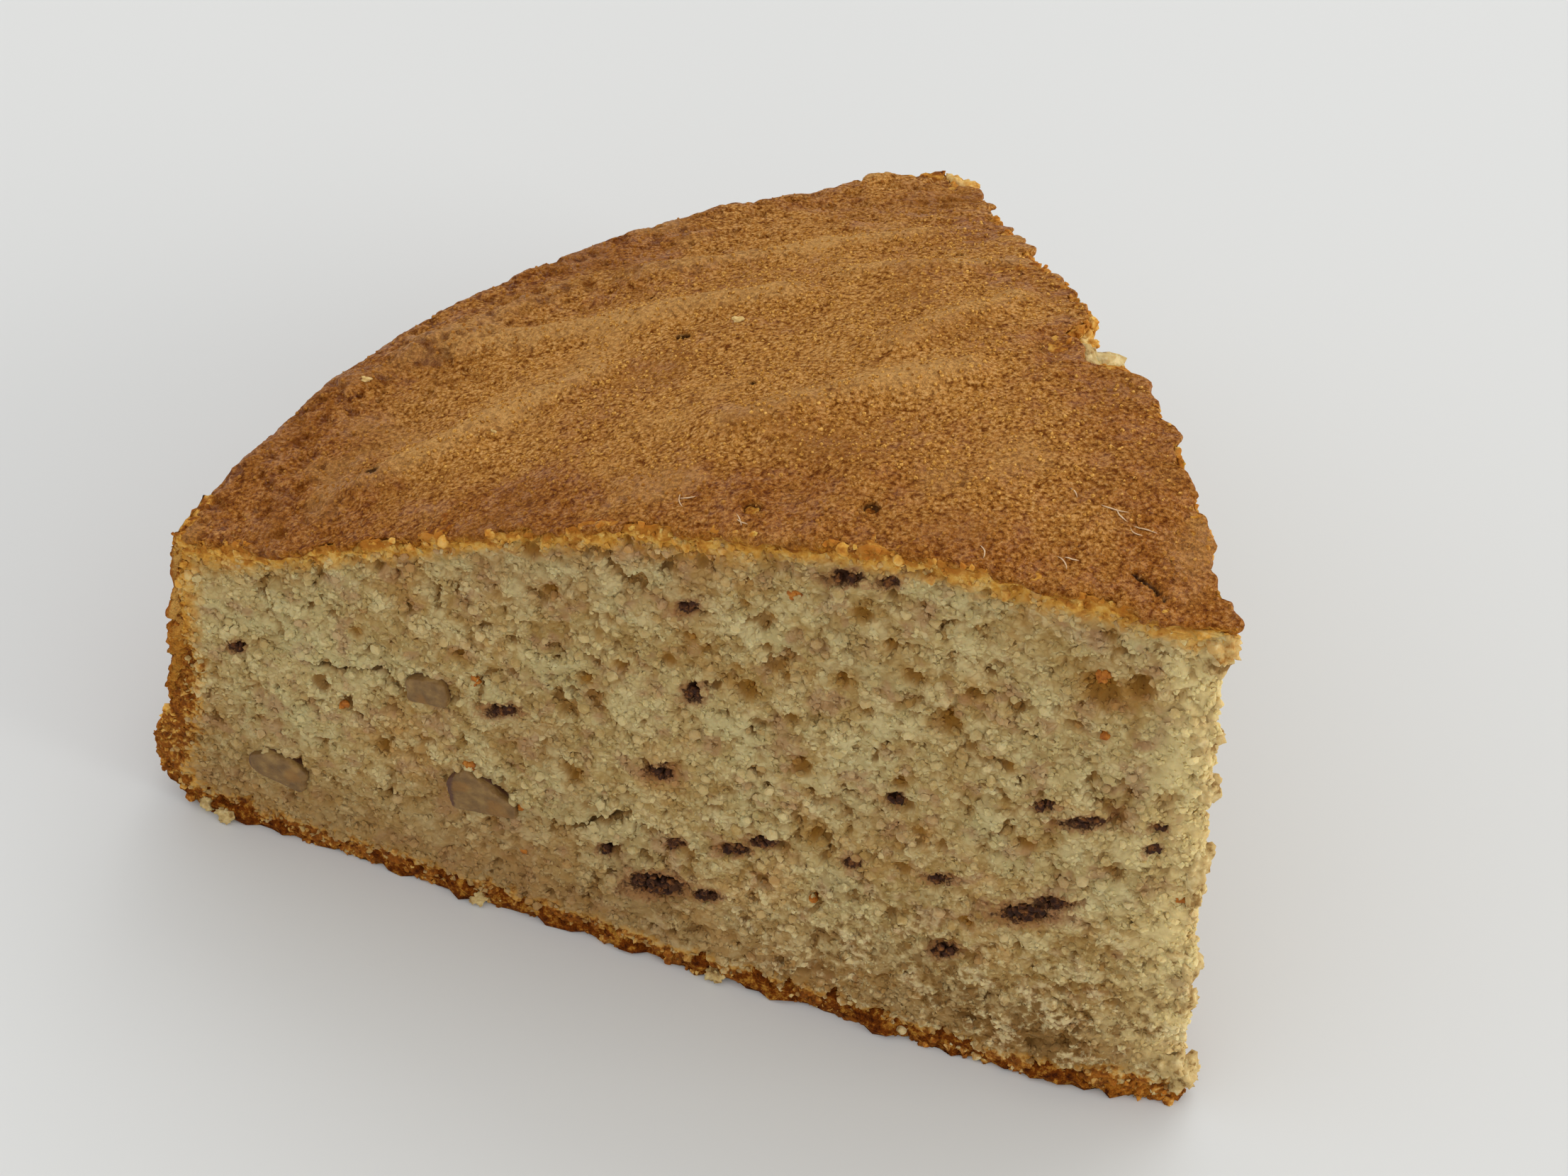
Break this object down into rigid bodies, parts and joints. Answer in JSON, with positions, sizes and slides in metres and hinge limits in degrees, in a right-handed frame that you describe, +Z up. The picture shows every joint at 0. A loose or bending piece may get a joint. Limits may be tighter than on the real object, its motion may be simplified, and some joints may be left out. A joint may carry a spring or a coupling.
{
  "type": "ginger cake slice",
  "caption": "Wedge-shaped slice of a domed round ginger cake with baked crust over open crumb, standing on its base.",
  "frame": {"origin": "middle of the bounding box on the surface that the slice stands on", "axes": "+Z up, +X level towards the tip along the front cut, -Y out of the front cut"},
  "size_m": [0.1024, 0.0902, 0.0642],
  "materials": {
    "cake": "matt open crumb inside a golden brown baked crust dusted with cinnamon",
    "walnut": "matt cut nut with a thin brown skin"
  },
  "bodies": {
    "root": {"cake": "cake", "walnut_1": "walnut", "walnut_2": "walnut", "walnut_3": "walnut"}
  },
  "joints": []
}
